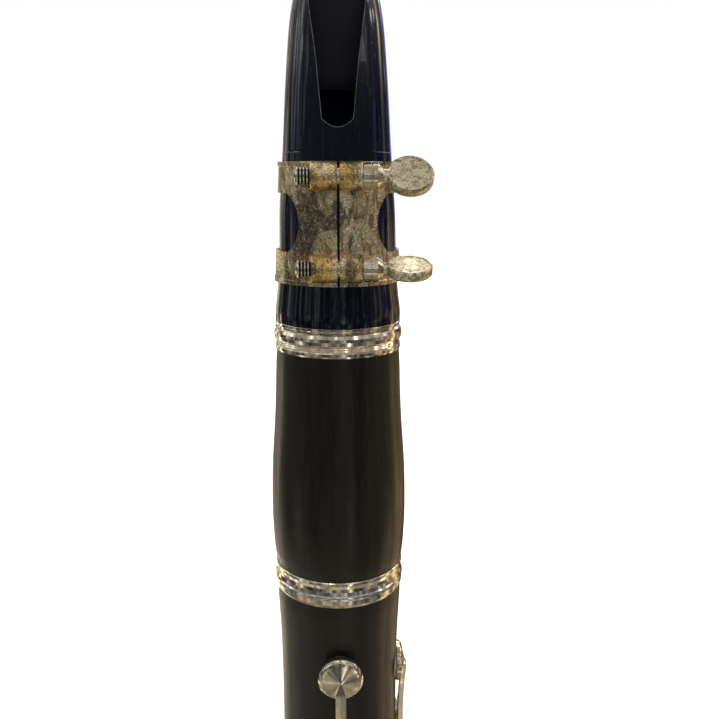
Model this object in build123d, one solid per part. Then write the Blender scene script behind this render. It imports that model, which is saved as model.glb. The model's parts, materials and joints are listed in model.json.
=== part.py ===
from build123d import *
import math
import os

# ---------------------------------------------------------------- clarinet
# Boehm-system B flat clarinet, standing on its bell.
# Millimetres. Origin: centre of the bell rim's bottom plane. +Z runs up the
# bore to the mouthpiece tip. -Y is the thumb side (mouthpiece window,
# register key, thumb ring, thumb rest), +Y the side of the finger holes,
# +X the player's right (side keys, right little-finger keys), -X the left.
# Angles PHI are measured round the bore: 0 = -Y, 90 = +X, 180 = +Y, 270 = -X.

# driving dimensions, heights along the bore
Z_BELL_TOP = 106.0
Z_MID = 332.0            # top of the lower joint's socket
Z_UP = 532.0             # shoulder of the upper joint under the barrel
Z_BAR = 598.0            # top of the barrel
MP_LEN = 76.0            # mouthpiece above the barrel
# radii
R_BORE = 7.4
R_UP = 14.5              # upper joint body
R_LO = 15.0              # lower joint body
R_ROD = 18.7             # axis of the long hinge rods on the ring side
R_RODL = 19.8            # axis of the little-finger rods on the lower joint
SOCK_A, SOCK_B, SOCK_C = 11.6, 12.6, 13.5      # barrel, middle, bell sockets
TEN_A, TEN_AU, TEN_B, TEN_C = 16.5, 15.0, 20.0, 21.0   # tenon lengths
FIT = 0.05               # running clearance of sliding and turning fits
TUBE_R, RODR = 2.0, 1.1  # hinge tube and steel rod
BALL_R = 2.6
PIN_R = 0.9              # pivot screw of the rocking keys
PAD_GAP = 0.03

os.makedirs("parts", exist_ok=True)


# ---------------------------------------------------------------- helpers
def er(phi):
    a = math.radians(phi)
    return (math.sin(a), -math.cos(a), 0.0)


def P(phi, r, z):
    e = er(phi)
    return (r * e[0], r * e[1], z)


def radial(phi, r, z):
    """plane at (phi, r, z): local x = up the bore, local z = outwards"""
    return Plane(origin=P(phi, r, z), x_dir=(0, 0, 1), z_dir=er(phi))


def local(phi):
    """frame through the bore at phi: coordinates (height, tangent, radius)"""
    return Plane(origin=(0, 0, 0), x_dir=(0, 0, 1), z_dir=er(phi))


def lathe(pts):
    f = make_face(Polyline(*[(r, 0, z) for r, z in pts], close=True))
    return revolve(f, Axis.Z)


def lathe_spline(curve, tail):
    """curve: (r, z) points joined by one smooth line; tail: straight return"""
    e = [Spline(*[(r, 0, z) for r, z in curve])]
    pts = [curve[-1]] + tail + [curve[0]]
    for a, b in zip(pts[:-1], pts[1:]):
        e.append(Line((a[0], 0, a[1]), (b[0], 0, b[1])))
    return revolve(make_face(e), Axis.Z)


def ring_cyl(r1, z0, z1, r0=0.0):
    if r0 <= 0:
        return lathe([(0, z0), (r1, z0), (r1, z1), (0, z1)])
    return lathe([(r0, z0), (r1, z0), (r1, z1), (r0, z1)])


def soft(s, rad, edges=None):
    try:
        return fillet(edges if edges is not None else s.edges(), rad)
    except Exception:
        return s


def sector(r0, r1, z0, z1, p0, p1, rnd=0.4):
    """curved bar that follows the body from angle p0 to p1"""
    f = make_face(Polyline((r0, 0, z0), (r1, 0, z0), (r1, 0, z1), (r0, 0, z1), close=True))
    s = revolve(f, Axis.Z, p1 - p0).rotate(Axis.Z, p0 - 90)
    return soft(s, rnd) if rnd else s


def rad_cyl(phi, z, r0, r1, rad):
    return radial(phi, r0, z) * Cylinder(rad, r1 - r0, align=(Align.CENTER, Align.CENTER, Align.MIN))


def tube(phi, r, z0, z1, rad=TUBE_R, bore=RODR + FIT):
    """hinge tube with its end collars"""
    t = Cylinder(rad, z1 - z0, align=(Align.CENTER, Align.CENTER, Align.MIN))
    for zz in (0.9, z1 - z0 - 1.9):
        t += Pos(0, 0, zz) * Cylinder(rad + 0.18, 1.0, align=(Align.CENTER, Align.CENTER, Align.MIN))
    x, y, _ = P(phi, r, 0)
    return Pos(x, y, z0) * t


def tube_bore(phi, r, z0, z1, bore=RODR + FIT):
    x, y, _ = P(phi, r, 0)
    return Pos(x, y, z0 - 1) * Cylinder(bore, z1 - z0 + 2, align=(Align.CENTER, Align.CENTER, Align.MIN))


def rod(phi, r, z0, z1, rad=RODR):
    x, y, _ = P(phi, r, 0)
    return Pos(x, y, z0) * Cylinder(rad, z1 - z0, align=(Align.CENTER, Align.CENTER, Align.MIN))


def post(phi, r, z, foot):
    """ball-headed post standing on the body, drilled for its rod"""
    p = Plane(origin=P(phi, r, z), x_dir=(0, 0, 1), z_dir=er(phi))
    b = p * Sphere(BALL_R)
    f = make_face(Polyline((0, 0, foot - r - 1.2), (2.7, 0, foot - r - 1.2), (2.7, 0, foot - r + 0.5),
                           (2.2, 0, foot - r + 0.9), (1.25, 0, foot - r + 1.4), (1.2, 0, -1.8), (0, 0, -1.8), close=True))
    stem = p * revolve(f, Axis.Z)
    return (b + stem) - rod(phi, r, z - 5, z + 5, RODR)


def cup(phi, z, seat, rc, rise=0.9, wall=2.6):
    """key cup over a hole: wall, shallow cone, recess for its pad"""
    f = make_face(Polyline((0, 0, 1.35), (rc - 0.45, 0, 1.35), (rc - 0.45, 0, 0.9), (rc - 0.1, 0, 0.9),
                           (rc, 0, 1.05), (rc, 0, wall - 0.6), (rc - 0.45, 0, wall - 0.1),
                           (rc - 0.6, 0, wall), (rc - 0.85, 0, wall + 0.02), (0.15, 0, wall + rise + 0.03), (0, 0, wall + rise + 0.05), close=True))
    return radial(phi, seat, z) * revolve(f, Axis.Z)


def pad(phi, z, seat, rc):
    f = make_face(Polyline((0, 0, PAD_GAP), (rc - 0.9, 0, PAD_GAP), (rc - 0.55, 0, 0.2), (rc - 0.5, 0, 0.45),
                           (rc - 0.5, 0, 1.35), (0, 0, 1.35), close=True))
    return radial(phi, seat, z) * revolve(f, Axis.Z)


def seat_of(rb, rs):
    return math.sqrt(rb * rb - rs * rs) - 0.12


def bar(phi, line, w, t=1.5, off=0.0, rnd=0.35):
    """lever bar along the body; line is (height, radius) of its centre line"""
    top = [(z, 0, r + t / 2) for z, r in line]
    bot = [(z, 0, r - t / 2) for z, r in reversed(line)]
    f = make_face(Polyline(*(top + bot), close=True))
    s = extrude(f, amount=w / 2, dir=(0, 1, 0), both=True)
    s = soft(s, rnd)
    return local(phi) * (Pos(0, off, 0) * s)


def tang_cyl(phi, z, r, rad, w, off=0.0):
    """cylinder along the tangent at (phi, z, r)"""
    c = Pos(z, off, r) * Rot(90, 0, 0) * Cylinder(rad, w)
    return local(phi) * c


def saddle(phi, z, r, outer, rb):
    """U bracket screwed to the body: two ears and a base, drilled for its pivot"""
    s = Pos(z, 0, rb + 0.1) * Box(7.0, 6.6, 1.2)
    for sg in (-1, 1):
        s += Pos(z, sg * 2.85, (rb + r) / 2) * Box(4.4, 0.9, r - rb)
        s += Pos(z, sg * 2.85, r) * Rot(90, 0, 0) * Cylinder(2.2, 0.9)
    s = local(phi) * s
    return (s - tang_cyl(phi, z, r, PIN_R, 12)) - outer


def pin(phi, z, r):
    """pivot screw with slotted heads outside the ears"""
    s = tang_cyl(phi, z, r, PIN_R, 6.6)
    s += tang_cyl(phi, z, r, 1.5, 0.5, off=3.55)
    s -= local(phi) * (Pos(z, 3.8, r) * Box(3.2, 0.4, 0.45))
    return s


def plate(phi, z0, z1, r, w, t=1.3, dome=0.0):
    """finger touch: rounded oblong plate, softly edged, across the bar"""
    zc, lz = (z0 + z1) / 2, z1 - z0
    rr = min(lz, w) / 2 - 0.01
    sk = RectangleRounded(lz, w, rr * 0.92)
    s = extrude(sk, amount=t)
    s = soft(s, 0.42, s.edges())
    return local(phi) * (Pos(zc, 0, r) * s)


def turn_long(s, phi, r, deg):
    return s.rotate(Axis(P(phi, r, 0), (0, 0, 1)), deg)


parts = {}


def keep(name, shape):
    parts[name] = shape


# ================================================================ mouthpiece
Z0 = Z_BAR
mp_prof = [(14.4, Z0 + 0.0), (14.42, Z0 + 1.6), (14.15, Z0 + 4.2), (13.75, Z0 + 7.5), (13.45, Z0 + 12),
           (13.2, Z0 + 18), (13.0, Z0 + 24), (12.5, Z0 + 31), (11.95, Z0 + 38.5), (11.32, Z0 + 49),
           (10.6, Z0 + 58.5), (10.1, Z0 + 63.6), (9.3, Z0 + 68.3), (8.2, Z0 + 72.2), (6.9, Z0 + MP_LEN)]
mp = lathe_spline(mp_prof, [(0, Z0 + MP_LEN), (0, Z0)])
# tenon with its cork groove
mp += lathe([(0, Z0 + 0.01), (11.45, Z0 + 0.01), (11.45, Z0 - 2.0), (10.5, Z0 - 2.0), (10.5, Z0 - 14.6),
             (11.45, Z0 - 14.6), (11.45, Z0 - TEN_A + 0.6), (10.9, Z0 - TEN_A), (0, Z0 - TEN_A)])
# beak: sloping front face
beak = make_face(Polyline((0, 30, Z0 + 36), (0, 13.2, Z0 + 36), (0, 11.2, Z0 + 44), (0, -6.15, Z0 + MP_LEN + 1.2),
                          (0, 30, Z0 + MP_LEN + 1.2), close=True))
mp -= extrude(beak, amount=20, dir=(1, 0, 0), both=True)
# flat table, curving away to the tip
table = make_face(Polyline((0, -30, Z0 + 14), (0, -14, Z0 + 14), (0, -9.95, Z0 + 17), (0, -9.6, Z0 + 36), (0, -9.15, Z0 + 55),
                           (0, -8.75, Z0 + 66), (0, -7.75, Z0 + MP_LEN + 1), (0, -30, Z0 + MP_LEN + 1), close=True))
mp -= extrude(table, amount=20, dir=(1, 0, 0), both=True)
# rounded tip seen from the thumb side
tipf = Pos(0, 0, 0) * make_face([ThreePointArc((-7.5, -20, Z0 + 73.6), (0, -20, Z0 + MP_LEN - 0.05), (7.5, -20, Z0 + 73.6)),
                                 Line((7.5, -20, Z0 + 73.6), (7.5, -20, Z0 + 82)), Line((7.5, -20, Z0 + 82), (-7.5, -20, Z0 + 82)),
                                 Line((-7.5, -20, Z0 + 82), (-7.5, -20, Z0 + 73.6))])
mp -= extrude(tipf, amount=40, dir=(0, 1, 0))
# bore, throat and window
mp -= ring_cyl(7.45, Z0 - TEN_A - 1, Z0 + 22)
throat = loft([Pos(0, 0, Z0 + 21.9) * Circle(7.45), Pos(0, -0.4, Z0 + 50.2) * RectangleRounded(8.4, 13.0, 3.0)])
mp -= throat
win = make_face(Polyline((-3.3, -20, Z0 + 43.6), (3.3, -20, Z0 + 43.6), (4.36, -20, Z0 + 55.2), (5.85, -20, Z0 + 66.8), (6.0, -20, Z0 + 74.6),
                           (-6.0, -20, Z0 + 74.6), (-5.85, -20, Z0 + 66.8), (-4.36, -20, Z0 + 55.2), close=True))
win = extrude(win, amount=40, dir=(0, 1, 0))
low = extrude(make_face([Line((-3.3, -20, Z0 + 43.7), (3.3, -20, Z0 + 43.7)),
                         ThreePointArc((3.3, -20, Z0 + 43.7), (0, -20, Z0 + 42.0), (-3.3, -20, Z0 + 43.7))]), amount=40, dir=(0, 1, 0))
side = make_face(Polyline((0, -12, Z0 + 41), (0, 3.4, Z0 + 41), (0, 3.4, Z0 + 49.9), (0, 2.7, Z0 + 50.3), (0, -7.9, Z0 + 74.9),
                          (0, -12, Z0 + 74.9), close=True))
mp -= (win + low) & extrude(side, amount=10, dir=(1, 0, 0), both=True)
# engraved guide line round the curved sides
gl = ring_cyl(13, Z0 + 37.0, Z0 + 37.35) - ring_cyl(11.9, Z0 + 36.9, Z0 + 37.45) - (Pos(0, 20, Z0 + 37) * Box(60, 40, 4))
mp -= gl
keep("mouthpiece", mp)
keep("mouthpiece_cork", lathe([(10.5, Z0 - 2.0), (SOCK_A - FIT, Z0 - 2.3), (SOCK_A - FIT, Z0 - 14.3), (10.5, Z0 - 14.6)]))

# ================================================================ ligature
LG0, LG1 = Z0 + 9.0, Z0 + 35.0          # bottom and top edge


def lig_r(z):
    pts = [(Z0 + 7.5, 13.75), (Z0 + 12, 13.45), (Z0 + 18, 13.2), (Z0 + 24, 13.0), (Z0 + 31, 12.5), (Z0 + 38.5, 11.95)]
    for (a, ra), (b, rb) in zip(pts[:-1], pts[1:]):
        if z <= b:
            return ra + (rb - ra) * (z - a) / (b - a)
    return pts[-1][1]


RI0, RI1 = lig_r(LG0) + 0.14, lig_r(LG1) + 0.34      # inner radii of the cone
band = lathe([(RI0, LG0), (RI0 + 0.66, LG0), (RI0 + 0.66, LG0 + 0.9), (RI0 + 0.45, LG0 + 1.05), (RI1 + 0.45, LG1 - 1.05),
              (RI1 + 0.66, LG1 - 0.9), (RI1 + 0.66, LG1), (RI1, LG1)])
# slit on the thumb side and round windows in the flanks
band -= local(0) * (Pos((LG0 + LG1) / 2, 0, 14) * Box(40, 0.55, 8))
for sg in (1, -1):
    w_ = Plane.XZ * ((Pos(sg * 17.4, Z0 + 22.15) * Circle(9.0)) & (Pos(sg * 17.4, Z0 + 22.15) * RectangleRounded(24, 12.5, 1.6)))
    band -= extrude(w_, amount=20, both=True)
LUGS = ((Z0 + 32.0, 14.75, 3.05), (Z0 + 13.1, 15.6, 3.0))
lugs = None
for zl, yl, rl in LUGS:
    for x0_, x1_ in ((-5.8, -0.25), (0.25, 5.1)):
        c = Pos((x0_ + x1_) / 2, -yl, zl) * Rot(0, 90, 0) * Cylinder(rl, x1_ - x0_)
        c = soft(c, 0.3)
        lugs = c if lugs is None else lugs + c
lugs -= lathe([(0, LG0 - 3), (RI0 + 0.22, LG0 - 3), (RI0 + 0.22, LG0 + 1.1), (RI1 + 0.22, LG1 - 1.1), (RI1 + 0.22, LG1 + 3), (0, LG1 + 3)])
SCREW_R, SCREW_OFF = 2.0, 0.6
band += lugs
for zl, yl, rl in LUGS:
    band -= Pos(0, -yl - SCREW_OFF, zl) * Rot(0, 90, 0) * Cylinder(SCREW_R + FIT, 30)
keep("ligature_band", band)


def thumb_screw(zl, yl, tilt):
    # coarse worn thread on the free end, plain shank through the lugs
    pr = [(0, -8.95), (1.35, -8.95), (1.8, -8.7)]
    for k in range(5):
        x = -8.5 + 0.68 * k
        pr += [(SCREW_R, x), (SCREW_R, x + 0.24), (SCREW_R - 0.48, x + 0.42), (SCREW_R - 0.48, x + 0.5)]
    pr += [(SCREW_R, -5.1), (SCREW_R, 8.4), (0, 8.4)]
    s = Rot(0, 90, 0) * revolve(make_face(Polyline(*[(r, 0, z) for r, z in pr], close=True)), Axis.Z)
    neck = make_face(Polyline((0, 0, 0), (2.75, 0, 0), (2.75, 0, 1.5), (2.55, 0, 1.62), (2.55, 0, 1.8), (2.75, 0, 1.92), (2.75, 0, 2.9),
                              (2.3, 0, 3.3), (1.5, 0, 4.1), (1.45, 0, 6.0), (0, 0, 6.0), close=True))
    s += Pos(5.18, 0, 0) * Rot(0, 90, 0) * revolve(neck, Axis.Z)
    # head: disc with a raised rim round each worn face
    hp = make_face(Polyline((0, 0, -0.93), (4.05, 0, -0.93), (4.3, 0, -1.08), (4.6, 0, -1.08), (4.88, 0, -0.75), (4.88, 0, 0.75),
                            (4.6, 0, 1.08), (4.3, 0, 1.08), (4.05, 0, 0.93), (0, 0, 0.93), close=True))
    s += Pos(14.8, 0, 0) * Rot(90 - tilt, 0, 0) * revolve(hp, Axis.Z)
    return Pos(0, -yl - SCREW_OFF, zl) * s


keep("ligature_screw_upper", thumb_screw(LUGS[0][0], LUGS[0][1], 42))
keep("ligature_screw_lower", thumb_screw(LUGS[1][0], LUGS[1][1], 73))

# ================================================================ barrel
ZB0, ZB1 = Z_UP, Z_BAR
bar_prof = [(14.2, ZB1 - 6.7), (14.45, ZB1 - 10), (14.62, ZB1 - 15), (14.85, ZB1 - 20.5), (15.2, ZB1 - 26), (15.65, ZB1 - 31.8),
            (15.98, ZB1 - 37.7), (16.14, ZB1 - 44), (16.14, ZB1 - 48), (15.95, ZB1 - 53), (15.6, ZB1 - 57.5), (15.2, ZB1 - 59.6)]
wood = lathe_spline(bar_prof, [(12.9, ZB1 - 59.6), (12.9, ZB0), (SOCK_A, ZB0), (SOCK_A, ZB0 + 15.3), (R_BORE + 0.2, ZB0 + 15.3),
                               (R_BORE + 0.2, ZB1 - 16.9), (SOCK_A, ZB1 - 16.9), (SOCK_A, ZB1), (12.9, ZB1), (12.9, ZB1 - 6.7)])
keep("barrel_body", wood)
brt = lathe([(12.9, ZB1), (14.15, ZB1), (14.44, ZB1 - 0.25), (14.44, ZB1 - 0.75), (14.1, ZB1 - 1.1), (14.1, ZB1 - 1.35),
                               (14.5, ZB1 - 1.7), (14.78, ZB1 - 2.4), (14.85, ZB1 - 3.1), (14.75, ZB1 - 3.9), (14.5, ZB1 - 4.35),
                               (14.3, ZB1 - 4.45), (14.42, ZB1 - 4.7), (14.3, ZB1 - 4.95), (14.42, ZB1 - 5.2), (14.3, ZB1 - 5.45),
                               (14.5, ZB1 - 5.7), (14.55, ZB1 - 6.3), (14.5, ZB1 - 6.65), (14.3, ZB1 - 6.7), (12.9, ZB1 - 6.7)])
brb = lathe([(12.9, ZB1 - 59.6), (15.3, ZB1 - 59.6), (15.5, ZB1 - 59.8), (15.5, ZB1 - 60.3), (15.25, ZB1 - 60.55),
                                  (15.15, ZB1 - 61.3), (15.22, ZB1 - 62.1), (15.5, ZB1 - 62.9), (15.72, ZB1 - 63.2), (15.72, ZB1 - 63.5),
                                  (15.45, ZB1 - 63.7), (15.62, ZB1 - 64.1), (15.6, ZB1 - 65.2), (15.35, ZB1 - 65.9), (15.1, ZB0), (12.9, ZB0)])
keep("barrel_rings", Compound(children=[brt, brb]))

# ================================================================ upper joint
HOLE_UP = [  # phi, z, hole radius, seat radius of the spot face (0: finger hole)
    (92, 507.8, 2.4, 5.4), (115, 489.0, 2.4, 5.0), (180, 487.0, 2.5, 5.2), (222, 486.0, 2.5, 5.0), (214, 441.5, 2.2, 4.6),
    (138.5, 434.0, 2.8, 4.9), (62, 385.0, 3.2, 5.6), (200, 384.0, 2.3, 4.6), (292, 381.0, 3.0, 5.3), (284, 352.5, 3.0, 5.1)]
RING_UP = [(425.0, 3.3, 5.2), (399.0, 3.9, 5.4)]     # z, hole radius, chimney radius
Z_H3 = 372.0
CH_TOP = 17.2                                        # chimney tops of the ring holes
REG_Z, REG_SEAT = 515.0, 15.3
up = lathe([(R_BORE, Z_UP + TEN_AU), (SOCK_A - 0.7, Z_UP + TEN_AU), (SOCK_A - 0.15, Z_UP + TEN_AU - 0.6), (SOCK_A - 0.15, Z_UP + 13.2),
            (10.5, Z_UP + 13.2), (10.5, Z_UP + 2.0), (SOCK_A - 0.15, Z_UP + 2.0), (SOCK_A - 0.15, Z_UP), (14.95, Z_UP), (15.2, Z_UP - 0.35),
            (15.2, Z_UP - 3.0), (15.0, Z_UP - 7.0), (14.75, Z_UP - 12.5), (14.6, Z_UP - 18.0), (R_UP, Z_UP - 26.0), (R_UP, 345.0), (14.65, 338.0), (14.95, Z_MID + 1.0),
            (14.9, Z_MID), (SOCK_B - 0.15, Z_MID), (SOCK_B - 0.15, Z_MID - 2.2), (11.5, Z_MID - 2.2), (11.5, Z_MID - 16.8),
            (SOCK_B - 0.15, Z_MID - 16.8), (SOCK_B - 0.15, Z_MID - TEN_B + 0.6), (SOCK_B - 0.7, Z_MID - TEN_B), (R_BORE, Z_MID - TEN_B)])
for z, rh, rch in RING_UP:
    up += rad_cyl(180, z, 12, CH_TOP, rch)
up = up
up_outer = lathe([(0, Z_UP), (14.95, Z_UP), (15.2, Z_UP - 0.35), (15.2, Z_UP - 3.0), (15.0, Z_UP - 7.0), (14.75, Z_UP - 12.5), (14.6, Z_UP - 18.0),
                  (R_UP, Z_UP - 26.0), (R_UP, 345.0), (14.65, 338.0), (14.95, Z_MID + 1.0), (14.9, Z_MID), (0, Z_MID)])
for ph, z, rh, rs in HOLE_UP:
    s_ = seat_of(R_UP if z < 505 else 14.6, rs)
    up -= rad_cyl(ph, z, s_, 22, rs)
    up -= rad_cyl(ph, z, 5.5, 22, rh)
for z, rh, rch in RING_UP:
    up -= rad_cyl(180, z, 5.5, 22, rh)
up -= rad_cyl(180, Z_H3, 5.5, 22, 3.9)
up -= rad_cyl(180, Z_H3, 14.1, 22, 5.6)
up -= rad_cyl(0, 434.0, 5.5, 22, 4.4)                # thumb bush
up -= rad_cyl(0, REG_Z, 5.5, 22, 2.2)                # register tube
up -= rad_cyl(0, REG_Z, 14.35, 22, 5.9)              # spot face under the register cup
up -= sector(12.3, 16, 362.6, 369.4, 206, 259, 0)   # relief under the sliver lever
keep("upper_body", up)
keep("upper_corks", Compound(children=[
    lathe([(10.5, Z_UP + 2.0), (SOCK_A - FIT, Z_UP + 2.3), (SOCK_A - FIT, Z_UP + 12.9), (10.5, Z_UP + 13.2)]),
    lathe([(11.5, Z_MID - 2.2), (SOCK_B - FIT, Z_MID - 2.5), (SOCK_B - FIT, Z_MID - 16.5), (11.5, Z_MID - 16.8)])]))
ins = rad_cyl(0, REG_Z, 3.6, REG_SEAT, 2.2) - rad_cyl(0, REG_Z, 3, 20, 1.3)
ins -= ring_cyl(3.9, REG_Z - 4, REG_Z + 4)
thb = rad_cyl(0, 434.0, 6.0, 16.6, 4.4) - rad_cyl(0, 434.0, 3, 20, 3.5)
thb -= ring_cyl(R_BORE, 428, 440)
keep("upper_inserts", Compound(children=[ins, thb]))

metal = {}
pads = {}


def ring_group(zr, rin, rout, top, depth=1.7):
    """finger ring round a chimney, in its pressed position"""
    a = rad_cyl(180, zr, top - depth, top, rout)
    a = soft(a, 0.5)
    return a - rad_cyl(180, zr, top - depth - 1, top + 1, rin)


PH_RING = 238.0
# index-finger ring key with its vent
OPEN1 = 4.3
g = ring_group(425.0, 5.75, 7.1, CH_TOP)
g += sector(16.6, 18.1, 423.6, 426.4, 202, PH_RING + 3, 0.35)
g += cup(214, 441.5, seat_of(R_UP, 4.6), 4.2, 0.7, 2.4)
g += sector(16.2, 17.9, 440.2, 442.8, 214, PH_RING, 0.35)
g += tube(PH_RING, R_ROD, 411.9, 449.6)
g += sector(18.75, 20.0, 431.5, 435.5, PH_RING + 1, PH_RING + 33, 0.35)
g -= tube_bore(PH_RING, R_ROD, 411.9, 449.6)
g -= rad_cyl(180, 425.0, 12, 22, 5.75)
pg = pad(214, 441.5, seat_of(R_UP, 4.6), 4.2)
metal["index_ring_key"] = turn_long(g, PH_RING, R_ROD, OPEN1)
pads["index_ring_pad"] = turn_long(pg, PH_RING, R_ROD, OPEN1)

# thumb ring key
PH_TH = 296.0
g = rad_cyl(0, 434.0, 15.1, 16.7, 7.0)
g = soft(g, 0.5)
g -= rad_cyl(0, 434.0, 14, 18, 5.6)
g += sector(15.6, 16.9, 432.5, 435.5, PH_TH, 340, 0.35)
g += sector(16.3, 18.6, 432.5, 435.5, PH_TH - 2, PH_TH + 8, 0.35)
g += tube(PH_TH, R_ROD, 425.4, 445.0)
g += sector(16.9, 18.15, 431.5, 435.5, PH_TH - 32, PH_TH, 0.35)
g -= tube_bore(PH_TH, R_ROD, 425.4, 445.0)
g -= rad_cyl(0, 434.0, 12, 22, 5.6)
metal["thumb_ring_key"] = turn_long(g, PH_TH, R_ROD, -OPEN1)

# bridge key: middle-finger ring, its vent, and the lever over the joint
g = ring_group(399.0, 5.95, 7.3, CH_TOP)
g += sector(16.6, 18.1, 397.6, 400.4, 202, PH_RING + 3, 0.35)
g += cup(200, 384.0, seat_of(R_UP, 4.6), 4.2, 0.7, 2.4)
g += sector(16.2, 17.9, 382.7, 385.3, 200, PH_RING, 0.35)
g += tube(PH_RING, R_ROD, 342.2, 406.2)
g += sector(18.95, 20.2, 321.5, 351.0, PH_RING + 11.5, PH_RING + 18, 0.4)
g += sector(18.95, 20.2, 343.5, 351.0, PH_RING, PH_RING + 14, 0.4)
g -= tube_bore(PH_RING, R_ROD, 342.2, 406.2)
g -= rad_cyl(180, 399.0, 12, 22, 5.95)
pg = pad(200, 384.0, seat_of(R_UP, 4.6), 4.2)
metal["bridge_ring_key"] = turn_long(g, PH_RING, R_ROD, OPEN1)
pads["bridge_ring_pad"] = turn_long(pg, PH_RING, R_ROD, OPEN1)

# sliver key on the left of the upper joint
PH_SL = 262.0
s_ = seat_of(R_UP, 5.3)
g = cup(292, 381.0, s_, 4.9, 0.9, 2.5)
g += sector(16.0, 17.6, 379.6, 382.4, PH_SL, 292, 0.35)
g += tube(PH_SL, R_ROD, 362.3, 390.1)
g += sector(15.0, 16.3, 363.9, 368.1, 222, PH_SL - 4, 0.35)
g += sector(15.12, 18.0, 364.15, 367.85, PH_SL - 7, PH_SL, 0.3)
g += sector(15.1, 17.4, 363.65, 368.35, 211, 228, 0.5)
g -= tube_bore(PH_SL, R_ROD, 362.3, 390.1)
metal["sliver_upper_key"] = g
pads["sliver_upper_pad"] = pad(292, 381.0, s_, 4.9)


def rocker(name, phi, zc, cphi, rc, rs, rb, zp, rpv, line, w, touches, rise=0.9, wall=2.6, seat=None, stem=None):
    s_ = seat if seat is not None else seat_of(rb, rs)
    k = cup(cphi, zc, s_, rc, rise, wall)
    k += bar(phi, line, w)
    k += tang_cyl(phi, zp, rpv, 1.9, 4.6)
    for t in touches:
        k += t
    k -= tang_cyl(phi, zp, rpv, PIN_R + FIT, 8)
    metal[name + "_key"] = k
    pads[name + "_pad"] = pad(cphi, zc, s_, rc)
    return saddle(phi, zp, rpv, up_outer, rb), pin(phi, zp, rpv)


up_posts, up_rods = [], []


def add(sp):
    up_posts.append(sp[0])
    up_rods.append(sp[1])


# register key: cup over its tube, ridged arm, thumb touch above the thumb ring
def roof(w, top, depth, z):
    """house-shaped section of a ridged arm on the thumb side"""
    return make_face(Polyline((-w / 2, -(top - depth), z), (w / 2, -(top - depth), z), (w / 2, -(top - w * 0.17), z), (0, -top, z),
                              (-w / 2, -(top - w * 0.17), z), close=True))


reg_arm = [(489.0, 18.0), (481.0, 18.0), (474.0, 18.3), (462.0, 18.6), (451.0, 18.3)]
ridge = loft([roof(0.26, 19.56, 1.1, 515.1), roof(2.45, 19.86, 1.6, 511.9)], ruled=True)
ridge += loft([roof(2.45, 19.86, 1.6, 511.9), roof(2.45, 19.9, 1.6, 509.0)], ruled=True)
ridge += loft([roof(2.45, 19.9, 1.6, 509.0), roof(2.45, 19.4, 1.6, 500.0)], ruled=True)
ridge += loft([roof(2.45, 19.4, 1.6, 500.0), roof(2.6, 18.95, 1.65, 487.0)], ruled=True)
add(rocker("register", 0, REG_Z, 0, 5.28, 5.4, 14.55, 481.0, 17.6, reg_arm, 2.7,
           [plate(0, 449.5, 464.5, 18.2, 7.2), ridge], rise=1.1, wall=3.1, seat=REG_SEAT))
# A key, G sharp key
add(rocker("a", 180, 487.0, 180, 4.9, 5.2, R_UP, 466.0, 17.6, [(487, 16.6), (480, 17.6), (466, 18.0), (458, 18.2), (448, 18.0)], 3.0,
           [plate(180, 444.0, 457.0, 17.9, 5.6)]))
add(rocker("g_sharp", 222, 486.0, 222, 4.7, 5.0, R_UP, 468.0, 17.6, [(486, 16.6), (479, 17.6), (468, 18.0), (460, 18.2), (451, 18.0)], 2.8,
           [plate(219, 448.5, 459.0, 17.9, 5.0)]))
# four side keys on the player's right
add(rocker("trill_1", 88, 507.8, 92, 5.0, 5.4, 14.6, 447.0, 17.4,
           [(508, 16.5), (502, 16.0), (496, 15.75), (470, 15.9), (453, 17.4), (447, 17.8), (441, 17.5), (385, 17.2), (368, 18.0), (354, 18.2)], 2.8,
           [plate(88.5, 352.5, 368.5, 18.1, 6.0)]))
add(rocker("trill_2", 113, 489.0, 115, 4.7, 5.0, R_UP, 417.0, 17.4,
           [(489, 16.5), (483, 16.0), (477, 15.75), (440, 15.9), (423, 17.4), (417, 17.8), (411, 17.5), (385, 17.2), (368, 18.0), (354, 18.2)], 2.8,
           [plate(111.5, 352.5, 368.5, 18.1, 6.0)]))
add(rocker("side_f_sharp", 138, 434.0, 138.5, 4.6, 4.9, R_UP, 404.0, 17.4,
           [(434, 16.5), (428, 16.2), (410, 17.4), (404, 17.8), (398, 17.5), (366, 17.0), (350, 17.8), (338, 18.0)], 2.8,
           [local(127) * (Pos(342.5, 0, 17.75) * soft(extrude(RectangleRounded(13.5, 10.5, 3.2), amount=1.3), 0.42))]))
add(rocker("side_b_flat", 66, 385.0, 62, 5.2, 5.6, R_UP, 369.0, 17.4,
           [(385, 16.5), (379, 16.6), (369, 17.8), (362, 17.6), (350, 17.9), (338, 18.0)], 2.8,
           [local(72) * (Pos(342.5, 0, 17.75) * soft(extrude(RectangleRounded(13.5, 9.5, 3.2), amount=1.3), 0.42))]))
# C sharp / G sharp, left little finger
add(rocker("c_sharp", 284, 352.5, 284, 4.8, 5.1, R_UP, 340.5, 18.4,
           [(352.5, 16.8), (347, 17.9), (340.5, 18.8), (334, 19.2), (322, 19.6)], 3.0,
           [plate(284, 313.5, 328.0, 19.5, 6.4)]))
for ph, z in ((PH_RING, 452.3), (PH_RING, 409.05), (PH_RING, 339.4), (PH_SL, 392.9), (PH_SL, 359.5), (PH_TH, 447.8), (PH_TH, 422.6)):
    up_posts.append(post(ph, R_ROD, z, R_UP))
keep("upper_posts", Compound(children=[p - up_outer for p in up_posts]))
up_rods += [rod(PH_RING, R_ROD, 337.2, 454.5), rod(PH_SL, R_ROD, 357.3, 395.1), rod(PH_TH, R_ROD, 420.4, 450.0)]


def needle(phi, r, z0, z1):
    return rod(phi, r, z0, z1, 0.32)


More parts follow.
